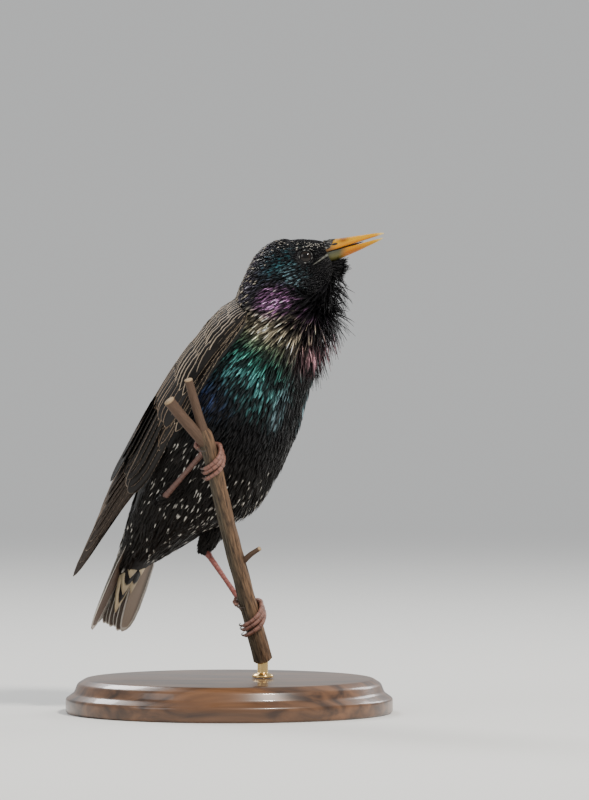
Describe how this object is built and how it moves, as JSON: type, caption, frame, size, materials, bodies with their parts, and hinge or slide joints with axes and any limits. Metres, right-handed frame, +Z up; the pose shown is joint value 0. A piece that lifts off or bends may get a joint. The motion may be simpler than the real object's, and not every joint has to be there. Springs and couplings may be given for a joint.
{
  "type": "perched songbird model",
  "caption": "Life-size still model of a common starling in song, bill raised and tail down, clinging to a cut twig that stands on a turned wooden base.",
  "frame": {"origin": "centre of the display base's underside, on the surface it stands on", "axes": "+Z up; +X the way the bill points in the view from the front; -Y towards the viewer, on the bird's right side"},
  "size_m": [0.134, 0.134, 0.1969],
  "materials": {
    "plumage": "glossy feathers, black with green and purple sheen",
    "eye": "wet dark gloss",
    "bill": "smooth yellow horn",
    "leg": "scaled pink-brown skin",
    "bark": "ridged brown bark",
    "stand_wood": "satin dark walnut",
    "stand_brass": "satin brass"
  },
  "bodies": {
    "root": {"head": "plumage", "neck": "plumage", "torso": "plumage", "wing_right": "plumage", "wing_left": "plumage", "tail": "plumage", "thigh_right": "plumage", "thigh_left": "plumage", "eye_right": "eye", "eye_left": "eye", "bill_upper": "bill", "bill_lower": "bill", "tarsus_right": "leg", "tarsus_left": "leg", "foot_right": "leg", "foot_left": "leg", "perch": "bark", "stand_base": "stand_wood", "stand_rod": "stand_brass"}
  },
  "joints": []
}
